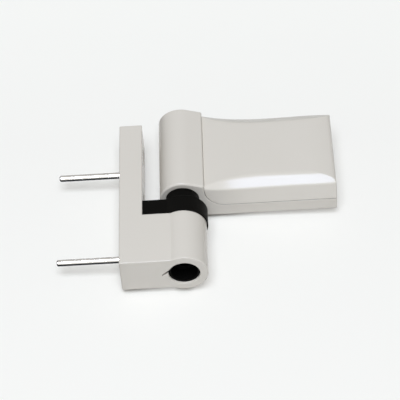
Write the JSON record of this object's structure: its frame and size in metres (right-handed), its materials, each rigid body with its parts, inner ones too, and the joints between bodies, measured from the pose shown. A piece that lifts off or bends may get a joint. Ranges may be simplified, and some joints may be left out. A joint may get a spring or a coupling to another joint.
{
  "type": "two-part hinge",
  "caption": "Two-part door hinge: an L-shaped frame bracket with locating pins and a keyed bush, and a leaf with a clip-on cover that turns on a height-adjustable pin.",
  "frame": {"origin": "the barrel's axis, at the lower end face of the frame bracket's knuckle", "axes": "+Y up along the barrel as installed, +X towards the open leaf, +Z out of the leaf's cover"},
  "size_m": [0.1334, 0.0957, 0.0241],
  "materials": {
    "lacquered_aluminium": "satin lacquer over an aluminium extrusion",
    "lacquered_cover": "smooth semi-gloss lacquer over a moulding",
    "black_plastic": "satin black moulding",
    "bright_steel": "ground and zinc plated",
    "screw_steel": "black oxide"
  },
  "bodies": {
    "frame": {"frame_bracket": "lacquered_aluminium", "locating_pins": "bright_steel", "frame_bush": "black_plastic"},
    "pin": {"lower_thrust_disc": "bright_steel", "hinge_pin": "bright_steel"},
    "screw": {"height_screw": "screw_steel"},
    "leaf": {"leaf_plate": "lacquered_aluminium", "leaf_lower_bush": "black_plastic", "leaf_upper_bush": "black_plastic", "upper_thrust_disc": "bright_steel"},
    "cover": {"leaf_cover": "lacquered_cover"}
  },
  "joints": [
    {"name": "height_adjustment", "type": "slide", "parent": "frame", "child": "pin", "axis": [0, 1, 0], "range_m": [0, 0.004]},
    {"name": "screw_turn", "type": "hinge", "parent": "pin", "child": "screw", "pos_m": [0, 0.0121, 0], "axis": [0, 1, 0], "range_deg": [0, 960]},
    {"name": "leaf_swing", "type": "hinge", "parent": "pin", "child": "leaf", "pos_m": [0, 0.07, 0], "axis": [0, 1, 0], "range_deg": [-90, 90]},
    {"name": "cover_lift", "type": "slide", "parent": "leaf", "child": "cover", "axis": [0, 0, 1], "range_m": [0, 0.012]}
  ],
  "couplings": [
    {"joint": "screw_turn", "follows": "height_adjustment", "rad_per_m": 4188.8}
  ]
}
